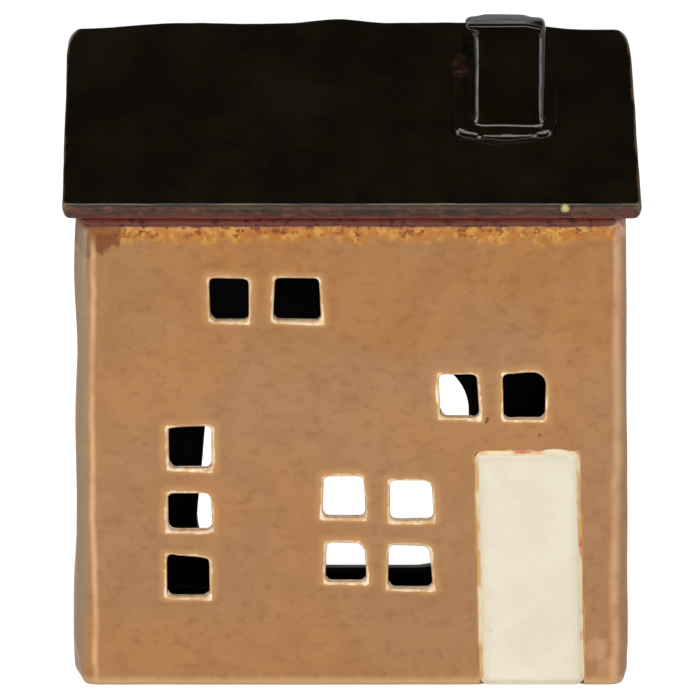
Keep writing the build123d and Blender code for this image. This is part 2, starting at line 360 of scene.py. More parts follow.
def settle(piece, body, slot, material, *replaced):
    """Glaze a finished piece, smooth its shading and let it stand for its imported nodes."""
    piece.data.materials.clear()
    piece.data.materials.append(material)
    pick(piece)
    bpy.ops.object.shade_smooth_by_angle(angle=crease)
    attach(piece, body)
    if replaced:
        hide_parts(*replaced)


# Materials

def add_node(tree, kind, inputs=None, **settings):
    """A node on a sheet, with its settings made and its inputs set or wired."""
    made = tree.nodes.new(kind)
    for setting, value in settings.items():
        setattr(made, setting, value)
    for socket, value in (inputs or {}).items():
        if isinstance(value, bpy.types.NodeSocket):
            tree.links.new(value, made.inputs[socket])
        else:
            made.inputs[socket].default_value = value
    return made


class Recipe:
    """A material's node sheet, written top to bottom like a glaze recipe."""

    def __init__(self, name):
        self.material = bpy.data.materials.new(name)
        self.material.use_nodes = True
        self.tree = self.material.node_tree
        self.shader = self.tree.nodes["Principled BSDF"]
        self.coords = self.node("ShaderNodeTexCoord").outputs["Object"]
        self.axes = self.node("ShaderNodeSeparateXYZ", {0: self.coords}).outputs

    def node(self, kind, inputs=None, **settings):
        """A node on this sheet."""
        return add_node(self.tree, kind, inputs, **settings)

    def math(self, operation, first, second=0.0, third=0.0):
        """One sum on up to three numbers."""
        inputs = {0: first, 1: second, 2: third}
        return self.node("ShaderNodeMath", inputs, operation=operation).outputs[0]

    def both(self, first, second):
        """1 where both are 1, 0 where one of them is 0."""
        return self.math("MULTIPLY", first, second)

    def add(self, value, extra, times):
        """The value with this many times the extra added."""
        return self.math("MULTIPLY_ADD", extra, times, value)

    def ragged(self, gap, blotches, amount):
        """A gap that blotches make uneven: it shrinks by up to this amount."""
        return self.add(gap, blotches, -amount)

    def ramp(self, value, low, high):
        """0 up to low, 1 from high, smooth between; high may be the lower one."""
        inputs = {0: value, 1: low, 2: high}
        return self.node("ShaderNodeMapRange", inputs, interpolation_type="SMOOTHSTEP").outputs[0]

    def near(self, middle, reach):
        """1 about a place given in mm, fading to 0 at this reach from it."""
        inputs = {0: self.coords, 1: Vector(middle) * mm}
        away = self.node("ShaderNodeVectorMath", inputs, operation="DISTANCE").outputs["Value"]
        return self.ramp(away, reach * mm, full_share * reach * mm)

    def noted(self, name):
        """The number that the piece keeps under this name."""
        return self.node("ShaderNodeAttribute", attribute_name=name).outputs["Fac"]

    def cloud(self, size, detail=2.0, rough=0.5, stretch=None):
        """Soft blotches of about this size in mm, from 0 to 1."""
        coords = self.coords
        if stretch:
            coords = self.node("ShaderNodeMapping", {0: coords, 3: stretch}).outputs[0]
        scale = 1 / (size * mm)
        inputs = {"Vector": coords, "Scale": scale, "Detail": detail, "Roughness": rough}
        return self.node("ShaderNodeTexNoise", inputs).outputs["Fac"]

    def blend(self, share, first, second):
        """From the first colour to the second as share goes from 0 to 1."""
        inputs = {0: share, 6: first, 7: second}
        return self.node("ShaderNodeMix", inputs, data_type="RGBA").outputs[2]

    def lay(self, colour, over, where, strength=None):
        """The colour with another laid over it, at full strength or at a share of it."""
        return self.blend(where if strength is None else self.both(where, strength), colour, over)

    def relief(self, height, depth, before=None):
        """Bump of this depth in mm from a height of 0 to 1."""
        inputs = {"Height": height, "Strength": 1.0, "Distance": depth * mm}
        if before is not None:
            inputs["Normal"] = before
        return self.node("ShaderNodeBump", inputs).outputs[0]

    def wire(self, socket, value):
        """Feed one of the shader's own sockets."""
        self.tree.links.new(value, self.shader.inputs[socket])

    def constant(self, **values):
        """Set shader sockets that are the same all over."""
        for socket, value in values.items():
            self.shader.inputs[socket.replace("_", " ")].default_value = value


def tone(red, green, blue):
    """A colour as it looks on a screen, 0 to 255, turned into the light it stands for."""
    shares = [value / 255 for value in (red, green, blue)]
    return tuple(
        share / 12.92 if share <= 0.04045 else ((share + 0.055) / 1.055) ** 2.4 for share in shares
    ) + (1.0,)


# The wall glaze's colours
warm_tan = tone(181, 127, 76)
grey_tan = tone(175, 128, 84)
brown_tan = tone(168, 118, 75)
blotch_brown = tone(152, 102, 62)
pale_fleck = tone(200, 152, 108)
dark_fleck = tone(134, 86, 52)
orange_ochre = tone(194, 124, 58)
yellow_ochre = tone(219, 163, 80)
rust_speck = tone(122, 60, 32)
run_red = tone(116, 58, 32)
bead_red = tone(112, 56, 46)
bead_dark = tone(66, 34, 26)
lump_pink = tone(206, 152, 134)
pit_brown = tone(84, 40, 24)
thin_buff = tone(212, 164, 124)
glow_gold = tone(212, 160, 98)
rim_buff = tone(238, 196, 140)
# The windows' sills: pooled cream glaze, and painted light on their upward faces
rim_cream = tone(255, 236, 202)
sill_buff_and_light = tone(240, 190, 138)
sill_cream_and_light = tone(255, 234, 202)
seat_ochre = tone(216, 150, 82)
seat_cream = tone(240, 212, 158)
worn_cream = tone(222, 176, 122)
# Beside the corners: a pale line, partly a cream glaze break and partly a painted highlight
left_line_and_highlight = tone(232, 184, 130)
right_line_and_highlight = tone(224, 172, 124)
# Right on the corners: grey that is a painted reflection
corner_reflection_grey = tone(146, 136, 112)
# The inside: painted shade
inside_shade_black = tone(18, 11, 7)
# The foot: a pale band, partly thin glaze and partly a painted reflection of the white table
foot_buff_and_sheen = tone(212, 172, 124)
raw_clay = tone(196, 168, 134)

# The roof glaze's colours
black_brown = tone(14, 10, 4)
black_green = tone(24, 19, 8)
grey_fleck = tone(64, 56, 38)
deep_plum = tone(54, 30, 20)
plum_brown = tone(92, 56, 42)
plum_light = tone(110, 68, 48)
plum_dark = tone(36, 22, 16)
eave_red = tone(138, 58, 46)
chip_yellow = tone(226, 206, 140)
smear_brown = tone(92, 56, 48)
worn_brown = tone(112, 88, 66)

# The door glaze's colours
door_cream = tone(240, 231, 210)
door_shade = tone(234, 223, 200)
pool_green = tone(222, 216, 180)
edge_ochre = tone(226, 176, 108)
edge_cream = tone(246, 228, 186)
blush_red = tone(214, 104, 66)
speck_green = tone(140, 132, 96)
door_fleck = tone(196, 176, 140)

# Single marks on the glaze, each at its place in mm
run_corner = (-58, -40, 106.5)
lump_place = (60.6, -38.4, 105.3)
pits = ((30.6, -39.8, 61.9), (30.35, -39.8, 61.3), (42.4, -39.8, 58.2))
thin_spots = ((55.2, -40, 8.4), (58.2, -39, 4.0))
eave_chip = (47.8, -43.6, 110.9)
smear_upper = (24.2, -11, 139)
smear_lower = (24.6, -14, 137)
door_blushes = ((38.5, -40, 54.6), (52.4, -40, 32.0))
door_speck_heights = (13.0, 22.3, 24.6, 27.2)
door_speck_foot, door_speck_lean, door_face = 31.0, 0.04, -41.5


def tan_body(glaze):
    """The flat of the walls: warm and grey tan in clouds, brown blotches and fine flecks."""
    clouds = glaze.ramp(glaze.cloud(34), 0.38, 0.62)
    patch = glaze.ramp(glaze.cloud(6, detail=3.0, rough=0.6), 0.40, 0.62)
    blotch = glaze.cloud(2.2, detail=3.0, rough=0.6, stretch=(0.7, 1, 1))
    fleck = glaze.cloud(1.2, stretch=(0.8, 1, 1))
    colour = glaze.blend(clouds, warm_tan, grey_tan)
    colour = glaze.lay(colour, brown_tan, patch, strength=0.6)
    colour = glaze.lay(colour, blotch_brown, glaze.ramp(blotch, 0.50, 0.72), strength=0.5)
    colour = glaze.lay(colour, pale_fleck, glaze.ramp(fleck, 0.60, 0.74), strength=0.3)
    return glaze.lay(colour, dark_fleck, glaze.ramp(fleck, 0.58, 0.80), strength=0.4)


def eave_runs(glaze, colour, run, drop):
    """Under the eaves the roof's glaze has run: red brown on the bead, then ochre with specks."""
    ragged = glaze.ragged(drop, run, 7.5)
    yellow = glaze.ramp(glaze.cloud(2.4, detail=3.0, rough=0.6), 0.45, 0.62)
    ochre = glaze.blend(yellow, orange_ochre, yellow_ochre)
    colour = glaze.lay(colour, ochre, glaze.ramp(ragged, 3.2, 0.2), strength=0.85)
    specks = glaze.ramp(glaze.cloud(1.8, detail=4.0, rough=0.7), 0.53, 0.61)
    rust = glaze.both(glaze.ramp(ragged, 2.2, -0.2), specks)
    colour = glaze.lay(colour, rust_speck, rust, strength=0.85)
    drips = glaze.cloud(2.6, detail=3.0, rough=0.6, stretch=(1.0, 1.0, 0.4))
    by_corner = glaze.math("MULTIPLY", glaze.near(run_corner, 11), 1.5)
    thick_run = glaze.ramp(glaze.add(by_corner, drips, 1.8), 1.6, 1.9)
    colour = glaze.lay(colour, run_red, thick_run, strength=0.75)
    bead_tone = glaze.blend(specks, bead_red, bead_dark)
    colour = glaze.lay(colour, bead_tone, glaze.ramp(glaze.ragged(drop, run, 1.3), 1.8, 1.4))
    return glaze.lay(colour, lump_pink, glaze.near(lump_place, 3.2), strength=0.9)


def wall_marks(glaze, colour, run):
    """Pits by the landing windows, and thin spots low down on the right."""
    for pit in pits:
        colour = glaze.lay(colour, pit_brown, glaze.near(pit, 0.6))
    for spot in thin_spots:
        thin = glaze.ramp(glaze.add(glaze.near(spot, 5), run, 1.6), 1.3, 2.0)
        colour = glaze.lay(colour, thin_buff, thin, strength=0.6)
    return colour


def cream_breaks_and_sill_light(glaze, colour, wander, drop):
    """Round the windows and the door's seat and over worn edges the glaze breaks to cream, and the
    sills' upward faces are cream, partly pooled glaze and partly painted light.
    """
    rim_gap = glaze.noted("window_gap")
    wide = glaze.cloud(6)
    glow = glaze.ramp(glaze.ragged(rim_gap, wide, 3.0), 1.0, -1.4)
    colour = glaze.lay(colour, glow_gold, glow, strength=0.6)
    ragged_rim = glaze.ragged(rim_gap, wander, 0.7)
    rim = glaze.ramp(glaze.ragged(ragged_rim, wide, 1.4), -0.35, -0.75)
    rim_tone = glaze.blend(glaze.ramp(wander, 0.35, 0.6), rim_buff, rim_cream)
    colour = glaze.lay(colour, rim_tone, rim)
    # The sills' upward faces: pooled cream glaze, and painted light where light falls on them
    lit_sill = glaze.both(glaze.noted("facing_up"), glaze.ramp(rim_gap, 6.0, 5.0))
    sill_tone_and_light = glaze.blend(glaze.ramp(wander, 0.42, 0.56), sill_buff_and_light, sill_cream_and_light)
    colour = glaze.lay(colour, sill_tone_and_light, glaze.ramp(lit_sill, 0.2, 0.6))
    seat = glaze.ramp(glaze.ragged(glaze.noted("door_gap"), wander, 1.0), 0.1, -0.5)
    tint = glaze.ramp(glaze.cloud(9), 0.42, 0.58)
    seat_tone = glaze.blend(tint, seat_ochre, seat_cream)
    colour = glaze.lay(colour, seat_tone, seat, strength=0.9)
    worn = glaze.ramp(glaze.ragged(glaze.noted("edge_wear"), wander, 0.05), 0.015, 0.06)
    worn = glaze.both(worn, glaze.ramp(drop, 2.0, 4.0))
    return glaze.lay(colour, worn_cream, worn, strength=0.5)


def corner_glaze_and_sheen(glaze, colour, drop):
    """A pale line beside each corner of the house, partly a glaze break and partly a painted
    highlight, and a painted grey reflection right on the corner.
    """
    to_right = glaze.ramp(glaze.axes["X"], -mm, mm)
    low_down = glaze.ramp(glaze.axes["Z"], 66 * mm, 14 * mm)
    # The pale line beside each corner: partly a glaze break, partly a painted highlight
    line = glaze.ragged(glaze.noted("side_gap"), glaze.cloud(11), 1.6)
    line = glaze.math("SUBTRACT", glaze.add(line, low_down, -1.1), 2.7)
    line = glaze.math("ABSOLUTE", glaze.add(line, to_right, 1.4))
    line = glaze.ramp(line, glaze.add(1.1, to_right, 0.7), 0.0)
    line = glaze.both(line, glaze.ramp(drop, 3.0, 9.0))
    line = glaze.both(line, glaze.ramp(glaze.cloud(9), 0.1, 0.55))
    line_and_highlight_tone = glaze.blend(to_right, left_line_and_highlight, right_line_and_highlight)
    colour = glaze.lay(colour, line_and_highlight_tone, line, strength=0.8)
    # Right on the corner, a painted grey reflection, fainter on the right side
    thin = glaze.ragged(glaze.noted("corner_gap"), glaze.cloud(9), 1.6)
    thin = glaze.both(glaze.ramp(thin, 2.4, 0.8), glaze.ramp(drop, 2.5, 4.0))
    thin = glaze.both(thin, glaze.add(0.6, to_right, -0.4))
    return glaze.lay(colour, corner_reflection_grey, thin)


def wall_glaze():
    """Tan glaze, mottled, cream where it breaks over edges, red and ochre under the eaves."""
    glaze = Recipe("tan_wall_glaze")
    run = glaze.cloud(4.5, detail=4.0, rough=0.65, stretch=(1.0, 1.0, 0.5))
    drop = glaze.noted("roof_drop")
    wander = glaze.cloud(1.7)
    colour = tan_body(glaze)
    colour = eave_runs(glaze, colour, run, drop)
    colour = wall_marks(glaze, colour, run)
    colour = cream_breaks_and_sill_light(glaze, colour, wander, drop)
    colour = corner_glaze_and_sheen(glaze, colour, drop)

    # The inside is painted black brown for the shade in the chamber, and the raw clay shows where
    # the house stands
    depth = glaze.math("ADD", glaze.noted("shell_depth"), glaze.cloud(3))
    inside = glaze.ramp(depth, 1.9, 1.3)
    colour = glaze.lay(colour, inside_shade_black, inside)
    # A pale band round the foot, partly thin glaze and partly a painted reflection of the white
    # table
    foot = glaze.ramp(glaze.ragged(glaze.axes["Z"], wander, mm), 2.2 * mm, 0.2 * mm)
    colour = glaze.lay(colour, foot_buff_and_sheen, foot, strength=0.9)
    bare = glaze.ramp(glaze.axes["Z"], 0.25 * mm, 0.12 * mm)
    colour = glaze.lay(colour, raw_clay, bare)
    glaze.wire("Base Color", colour)
    upright = glaze.ramp(glaze.noted("facing_up"), 0.6, 0.2)
    rough = glaze.add(0.14, glaze.both(inside, upright), 0.3)
    glaze.wire("Roughness", glaze.add(rough, bare, 0.7))
    ripple = glaze.relief(glaze.cloud(6), 0.05)
    glaze.wire("Normal", glaze.relief(glaze.cloud(0.9), 0.012, ripple))
    glaze.constant(IOR=1.5)
    return glaze.material


def roof_glaze():
    """Near-black glaze with a green and brown bloom, thin and plum brown over its edges."""
    glaze = Recipe("black_roof_glaze")
    bloom = glaze.ramp(glaze.cloud(14, detail=3.0), 0.35, 0.7)
    colour = glaze.blend(bloom, black_brown, black_green)
    fleck = glaze.ramp(glaze.cloud(0.9, detail=3.0, rough=0.6), 0.64, 0.76)
    colour = glaze.lay(colour, grey_fleck, fleck, strength=0.25)

    # The eave's edge: mottled plum brown, red along its foot
    eave_gap = glaze.noted("eave_gap")
    streak = glaze.cloud(5, detail=4.0, rough=0.65, stretch=(0.3, 1.0, 1.0))
    mottle = glaze.cloud(1.6, detail=3.0, rough=0.65, stretch=(0.5, 1.0, 1.0))
    plum = glaze.blend(glaze.ramp(streak, 0.38, 0.62), deep_plum, plum_brown)
    plum = glaze.lay(plum, plum_light, glaze.ramp(mottle, 0.52, 0.68))
    plum = glaze.lay(plum, plum_dark, glaze.ramp(mottle, 0.46, 0.34))
    red_foot = glaze.ramp(glaze.add(glaze.noted("slab_depth"), streak, 0.8), 3.1, 4.3)
    plum = glaze.lay(plum, eave_red, red_foot, strength=0.8)
    colour = glaze.lay(colour, plum, glaze.ramp(glaze.ragged(eave_gap, mottle, 0.5), 0.4, 0.0))
    colour = glaze.lay(colour, chip_yellow, glaze.near(eave_chip, 1.3))

    # A smear beside the chimney, and brown where edges are worn
    smear = glaze.math("MAXIMUM", glaze.near(smear_upper, 2.4), glaze.near(smear_lower, 2.6))
    smear = glaze.both(smear, glaze.ramp(mottle, 0.35, 0.65))
    colour = glaze.lay(colour, smear_brown, smear, strength=0.6)
    worn = glaze.ramp(glaze.ragged(glaze.noted("edge_wear"), streak, 0.10), 0.0, 0.06)
    colour = glaze.lay(colour, worn_brown, worn, strength=0.7)
    glaze.wire("Base Color", colour)
    rough = glaze.add(0.08, glaze.ramp(glaze.cloud(8), 0.2, 0.9), 0.08)
    dull = glaze.both(glaze.ramp(eave_gap, 1.6, 0.6), glaze.ramp(streak, 0.4, 0.55))
    glaze.wire("Roughness", glaze.add(rough, dull, 0.35))
    ripple = glaze.relief(glaze.cloud(5), 0.06)
    glaze.wire("Normal", glaze.relief(glaze.cloud(0.8), 0.012, ripple))
    glaze.wire("Coat Weight", glaze.math("MULTIPLY", glaze.ramp(eave_gap, 1.0, 3.0), 0.45))
    glaze.constant(IOR=1.5, Coat_Roughness=0.04)
    return glaze.material


def door_glaze():
    """Cream glaze, green where it pools inside the edges and ochre over them."""
    glaze = Recipe("cream_door_glaze")
    clouds = glaze.ramp(glaze.cloud(9, detail=3.0), 0.35, 0.7)
    colour = glaze.blend(clouds, door_cream, door_shade)
    inset = glaze.ragged(glaze.noted("door_gap"), glaze.cloud(2.5, detail=3.0), 1.0)
    pool = glaze.both(glaze.ramp(inset, 2.2, 0.9), glaze.ramp(inset, 0.0, 0.5))
    colour = glaze.lay(colour, pool_green, pool, strength=0.4)
    tint = glaze.ramp(glaze.cloud(9), 0.42, 0.58)
    edge_tone = glaze.blend(tint, edge_ochre, edge_cream)
    colour = glaze.lay(colour, edge_tone, glaze.ramp(inset, 0.3, -0.2))
    for blush in door_blushes:
        flush = glaze.both(glaze.near(blush, 3.2), glaze.ramp(inset, 0.0, -0.4))
        colour = glaze.lay(colour, blush_red, flush)
    for height in door_speck_heights:
        speck = glaze.near((door_speck_foot + door_speck_lean * height, door_face, height), 0.8)
        colour = glaze.lay(colour, speck_green, speck, strength=0.4)
    fleck = glaze.ramp(glaze.cloud(0.8), 0.74, 0.80)
    colour = glaze.lay(colour, door_fleck, fleck, strength=0.3)
    glaze.wire("Base Color", colour)
    glaze.wire("Normal", glaze.relief(glaze.cloud(5), 0.06))
    glaze.constant(IOR=1.5, Roughness=0.16)
    return glaze.material


def cup_foil():
    """Thin rolled aluminium."""
    foil = Recipe("pressed_cup_foil")
    grain = foil.cloud(1.5, detail=3.0, rough=0.6, stretch=(1.0, 1.0, 8.0))
    foil.wire("Base Color", foil.blend(grain, tone(196, 197, 200), tone(228, 228, 230)))
    foil.wire("Roughness", foil.add(0.18, grain, 0.25))
    foil.wire("Normal", foil.relief(foil.cloud(1.2), 0.02))
    foil.constant(Metallic=1.0)
    return foil.material


def candle_wax():
    """White paraffin wax with a faint bloom."""
    wax = Recipe("white_candle_wax")
    bloom = wax.cloud(3, detail=4.0, rough=0.6)
    wax.wire("Base Color", wax.blend(bloom, tone(232, 229, 220), tone(246, 244, 238)))
    wax.wire("Normal", wax.relief(wax.cloud(1.8, detail=3.0), 0.04))
    wax.constant(Roughness=0.38, IOR=1.44, Subsurface_Weight=0.25, Subsurface_Scale=2 * mm)
    return wax.material


def wick_cotton():
    """Waxed cotton, twisted, a little yellow."""
    cotton = Recipe("braided_wick_cotton")
    strand = cotton.cloud(0.35, rough=0.6)
    cotton.wire("Base Color", cotton.blend(strand, tone(206, 196, 172), tone(240, 234, 218)))
    cotton.wire("Normal", cotton.relief(strand, 0.05))
    cotton.constant(Roughness=0.8)
    return cotton.material


def tab_plate():
    """Tin-plated steel with rolling marks."""
    plate = Recipe("tinned_tab_plate")
    marks = plate.cloud(0.8, detail=3.0, rough=0.6, stretch=(1.0, 12.0, 1.0))
    plate.wire("Base Color", plate.blend(marks, tone(168, 168, 166), tone(206, 206, 204)))
    plate.wire("Roughness", plate.add(0.25, marks, 0.2))
    plate.constant(Metallic=1.0)
    return plate.material


# The walls

# A bead of clay under each long eave, a lump and a blister beside it, and glaze pooled on the
# windows' sills and in their lower corners: places and sizes of the lumps
bead_left, bead_right = -59.6, 57.8
bead_middle, bead_height, bead_thickness = 40.15, 107.35, 1.9
end_lump = ((60.2, -38.3, 105.2), (3.0, 3.0, 3.6))
blister = ((27.7, -39.9, 103.8), (1.7, 1.2, 1.5))
pool_widths = (1.3, 0.9, 1.1)
pool_length = 2.4
pool_aside, pool_inward, pool_lift = 0.1, 0.6, 0.5
sill_lines = (-39.7, -38.3, -36.9)
sill_lift, sill_thickness = 0.05, 0.95

# Where the walls' sides stand out, and where they turn in at the foot
foot_lines = (-36, -12, 12, 36)
wall_pulls = (
    ((-62.5, -20, 15), (-1.0, 0, 0), 28),
    ((-62.5, 20, 15), (-0.8, 0, 0), 30),
    ((-62, -20, 62), (-0.7, 0, 0), 26),
    ((-62, -40, 96), (-0.9, 0, 0), 26),
    ((62.5, 0, 12), (0.5, 0, 0), 30),
    *(((-63, along, 0), (1.5, 0, 0), 11) for along in foot_lines),
    *(((63, along, 0), (-0.7, 0, 0), 9) for along in foot_lines),
)
foot_drop, foot_rise = 0.8, 6

# How much further out the inside's painted shade comes in the rear opening, how many times a gap
# below a window counts, so that its rim stays narrow there, and how deep in the long walls the
# skin begins that has a line beside its corners
rear_shade_reach = 2.7
rim_below = 2.4
side_band = 3 * mm

# The five wall slabs are luted into one shell, worn soft, and cut apart again where they meet
shell = clay_copy("front_wall", "shell")
window_rim, door_rim, sill_corners = read_cuts(shell, front_y)
rear_clay = clay_copy("rear_wall", "rear_wall_clay")
window_rim += read_cuts(rear_clay, -front_y)[0]
other_slabs = ("left_gable_wall", "right_gable_wall", "base_slab")
fuse(shell, rear_clay, *(clay_copy(slab, slab + "_clay") for slab in other_slabs))

lumps = [
    roll(bead_left, bead_right, side * bead_middle, bead_height, bead_thickness)
    for side in (-1, 1)
]
lumps.append(pellet(*end_lump))
lumps.append(pellet(*blister))
for index, (corner, side) in enumerate(sill_corners):
    width = pool_widths[index % len(pool_widths)]
    middle = corner / mm + Vector((side * pool_aside, pool_inward, pool_lift))
    lumps.append(pellet(middle, (width, pool_length, width)))
    if side < 0:
        continue
    far_corners = [other for other, way in sill_corners if way < 0 and other.x > corner.x]
    far_corner = min(far_corners, key=lambda other: (other - corner).length)
    sill = (corner + far_corner) / 2 / mm
    for line in sill_lines:
        lumps.append(
            roll(corner.x / mm, far_corner.x / mm, line, sill.z + sill_lift, sill_thickness)
        )
press_on(shell, *lumps)
soften(shell, wall_grain, turns=2, wear_turns=6)
pull(shell, *wall_pulls)
wobble(shell, "wall_wander", size=22 * mm, depth=0.5 * mm)
points = places(shell)
points[:, 2] -= foot_drop * mm * np.clip(1 - points[:, 2] / (foot_rise * mm), 0, 1)
place(shell, points)
keep_in_box(shell)

# What the glaze has to know at each point: how far below the roof it lies, how deep in the
# slab, how far from the corners, from the windows and from the door, and how far it faces up
points = places(shell)
across, along, up = points.T
beyond_sides = np.abs(across) - (chamber_half_width - wall_lean * up)
beyond_ends = np.abs(along) - chamber_half_depth
below_floor = wall_slab - up
depth = np.maximum(np.maximum(beyond_sides, beyond_ends), below_floor) / mm
# The painted shade of the inside reaches further out round the rear opening
depth = depth - np.where(along > chamber_half_depth - margin, rear_shade_reach, 0)
to_side = np.where(beyond_ends > side_band, wall_slab - beyond_sides, out_of_reach * mm)
to_corner = np.hypot(wall_slab - beyond_sides, wall_slab - beyond_ends)
note(shell, "roof_drop", (ridge_under - tan(roof_pitch) * np.abs(along) - up) / mm)
note(shell, "shell_depth", depth)
note(shell, "side_gap", to_side / mm)
note(shell, "corner_gap", to_corner / mm)
note(shell, "window_gap", gap_to(points, window_rim, below=rim_below))
note(shell, "door_gap", gap_to(points, door_rim))
note(shell, "facing_up", directions(shell)[:, 2])

# The shell is cut just outside the chamber, so that each slab is a closed piece again
seam = 0.5 * mm
seam_foot = chamber_half_width - seam
front_seam = ((0, -chamber_half_depth + seam, 0), (0, 1, 0))
rear_seam = ((0, chamber_half_depth - seam, 0), (0, -1, 0))
behind_front = (front_seam[0], (0, -1, 0))
before_rear = (rear_seam[0], (0, 1, 0))
tan_glaze = wall_glaze()
front_wall = part_of(shell, "front_wall_glazed", front_seam)
rear_wall = part_of(shell, "rear_wall_glazed", rear_seam)
settle(front_wall, "house", "house_glaze", tan_glaze, "front_wall")
settle(rear_wall, "house", "house_glaze", tan_glaze, "rear_wall")
for side, side_name in ((-1, "left"), (1, "right")):
    side_seam = ((side * seam_foot, 0, 0), (-side, 0, -wall_lean))
    gable_name = f"{side_name}_gable_wall"
    gable = part_of(shell, gable_name + "_glazed", behind_front, before_rear, side_seam)
    settle(gable, "house", "house_glaze", tan_glaze, gable_name)
base = part_of(
    shell,
    "base_slab_glazed",
    behind_front,
    before_rear,
    ((-seam_foot, 0, 0), (-1, 0, wall_lean)),
    ((seam_foot, 0, 0), (1, 0, wall_lean)),
)
settle(base, "house", "house_glaze", tan_glaze, "base_slab")
bpy.data.objects.remove(shell)

# The two roof slabs, sagging towards their ends, with a hump in the ridge and a chipped eave
eave_lump = ((47.8, -43.3, 110.9), (2.2, 1.6, 1.7))
ridge_pulls = (
    ((-65, 0, ridge_mm), (0, 0, -1.35), 25),
    ((62, 0, ridge_mm), (0, 0, -1.6), 25),
    ((-3.4, 0, ridge_mm), (0, 0, 0.8), 11),
    ((-22, 0, ridge_mm), (0, 0, -0.3), 14),
    ((48, 0, ridge_mm), (0, 0, -0.6), 12),
)
roof = clay_copy("front_roof_slab", "roof")
fuse(roof, clay_copy("rear_roof_slab", "rear_clay"))
press_on(roof, pellet(*eave_lump))
soften(roof, roof_grain, turns=6, wear_turns=9)
down_slope, slab_depth = down_the_roof(places(roof))
note(roof, "eave_gap", (eave_reach / cos(roof_pitch) - down_slope) / mm)
note(roof, "slab_depth", slab_depth / mm)
pull(roof, *ridge_pulls)
wobble(roof, "roof_wander", size=26 * mm, depth=0.4 * mm)
wobble(roof, "roof_dimples", size=5 * mm, depth=0.14 * mm)
keep_in_box(roof)
black_glaze = roof_glaze()
front_roof = part_of(roof, "front_roof_glazed", ((0, 0, 0), (0, 1, 0)))
rear_roof = part_of(roof, "rear_roof_glazed", ((0, 0, 0), (0, -1, 0)))
settle(front_roof, "house", "roof_glaze", black_glaze, "front_roof_slab")
settle(rear_roof, "house", "roof_glaze", black_glaze, "rear_roof_slab")
bpy.data.objects.remove(roof)

# The chimney's lip, the clay pressed round its foot and the thumb marks in it: each mark is a
# place across and along the house and how far the thumb lifted the clay
chimney_middle = (chimney_low + chimney_high) / 2 / mm
cap_height = chimney_high.z / mm
cap_size = (17.0, 15.1, 1.6)
cap_aside, cap_sunk = 0.75, 0.8
cap_place = (chimney_middle.x - cap_aside, chimney_middle.y, cap_height - cap_sunk)
coil_lumps = (
    ((24.7, -10.0, 139.6), (2.2, 17.0, 2.2)),
    ((25.6, -21.0, 130.5), (4.6, 17.0, 2.6)),
    ((34.4, -28.3, 124.7), (17.0, 3.6, 2.4)),
    ((45.7, -21.0, 130.6), (3.2, 14.0, 2.4)),
)
cap_pulls = (
    ((26.6, -25, cap_height - 1), (-0.6, 0, 0), 4),
    ((26.6, -18, cap_height - 1), (-0.6, 0, 0), 5),
    ((44, -26.5, cap_height - 1), (0, 0, -0.7), 5),
    ((44.2, -12.5, cap_height), (-0.5, 0, -0.9), 5),
    ((26.8, -12.5, cap_height), (0.7, 0, -0.4), 4),
)
thumb_marks = (
    (27, -29.6, -0.5), (31, -30.2, 0.1), (35, -30, -0.3), (39.5, -30.2, 0.1), (43.5, -29.5, -0.6),
    (24.6, -26.5, 0.5), (23.8, -22, -0.5), (24.4, -17.5, 0.5), (23.9, -13.5, -0.5),
    (46.8, -24, 0.5), (47, -19, -0.5),
)
thumb_height, thumb_reach = 1, 3.2


def thumb_pull(mark_x, mark_y, lift):
    """The push of one thumb mark, square to the roof and just above its face."""
    height = ridge_mm - tan(roof_pitch) * abs(mark_y) + thumb_height
    return (mark_x, mark_y, height), roof_up * lift, thumb_reach


# The chimney and the clay round its foot, cut apart along the coil's upper face
stack = clay_copy("chimney", "stack")
fuse(stack, clay_copy("chimney_coil", "coil_clay"))
bpy.ops.mesh.primitive_cube_add(size=mm, location=Vector(cap_place) * mm)
cap = bpy.context.object
cap.scale = cap_size
bpy.ops.object.transform_apply(location=True, rotation=True, scale=True)
press_on(stack, cap, *(pellet(middle, size, roof_pitch) for middle, size in coil_lumps))
soften(stack, detail_grain, turns=40, wear_turns=8)
pull(stack, *cap_pulls, *(thumb_pull(*mark) for mark in thumb_marks))
wobble(stack, "chimney_wander", size=9 * mm, depth=0.35 * mm)
keep_in_box(stack)
note(stack, "eave_gap", np.full(len(stack.data.vertices), out_of_reach))
note(stack, "slab_depth", np.zeros(len(stack.data.vertices)))
coil_top = (0, 0, ridge_top + coil_thickness / cos(roof_pitch))
chimney = part_of(stack, "chimney_glazed", (coil_top, -roof_up))
coil = part_of(stack, "chimney_coil_glazed", (coil_top, roof_up))
settle(chimney, "house", "roof_glaze", black_glaze, "chimney")
settle(coil, "house", "roof_glaze", black_glaze, "chimney_coil")
bpy.data.objects.remove(stack)

# The door, its glaze flowed into the seat all round and piled up over its head
flow_reach = 0.7 * mm
flow_proud = 0.15 * mm
head_hump = ((45.8, -40.3, 54.3), (6.4, 1.8, 1.9))
door = clay_copy("door_panel", "door_panel_glazed")
flow = clay_copy("door_panel", "door_flow")
work(flow, "DISPLACE", strength=flow_reach, mid_level=0.0)
points = places(flow)
points[:, 1] = np.maximum(points[:, 1], front_y - flow_proud)
place(flow, points)
press_on(door, flow, pellet(*head_hump))
soften(door, detail_grain, turns=6, wear_turns=10)
wobble(door, "door_wander", size=14 * mm, depth=0.35 * mm)
keep_in_box(door)
note(door, "door_gap", gap_to(places(door), door_rim, flat=True))
settle(door, "house", "door_glaze", door_glaze(), "door_panel")

